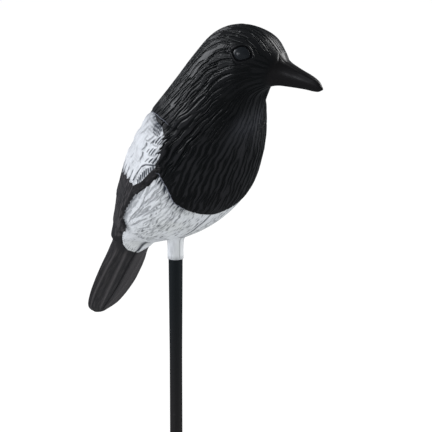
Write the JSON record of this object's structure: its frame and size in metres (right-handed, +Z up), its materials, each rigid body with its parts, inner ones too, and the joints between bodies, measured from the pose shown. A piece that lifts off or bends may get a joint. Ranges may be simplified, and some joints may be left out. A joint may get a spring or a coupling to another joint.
{
  "type": "magpie decoy",
  "caption": "Plastic magpie decoy with folded wings, short tail and slightly turned head, standing on a round black stake.",
  "frame": {"origin": "centre of the stake's flat foot, where the stake enters the ground", "axes": "+Z up along the stake; the bird faces -Y, its right side is -X and its tail points to +Y"},
  "size_m": [0.1099, 0.305, 0.4781],
  "materials": {
    "bird_paint": "satin black and white paint over blow-moulded plastic",
    "stake_black": "satin"
  },
  "bodies": {
    "root": {"magpie_body": "bird_paint", "stake": "stake_black"}
  },
  "joints": []
}
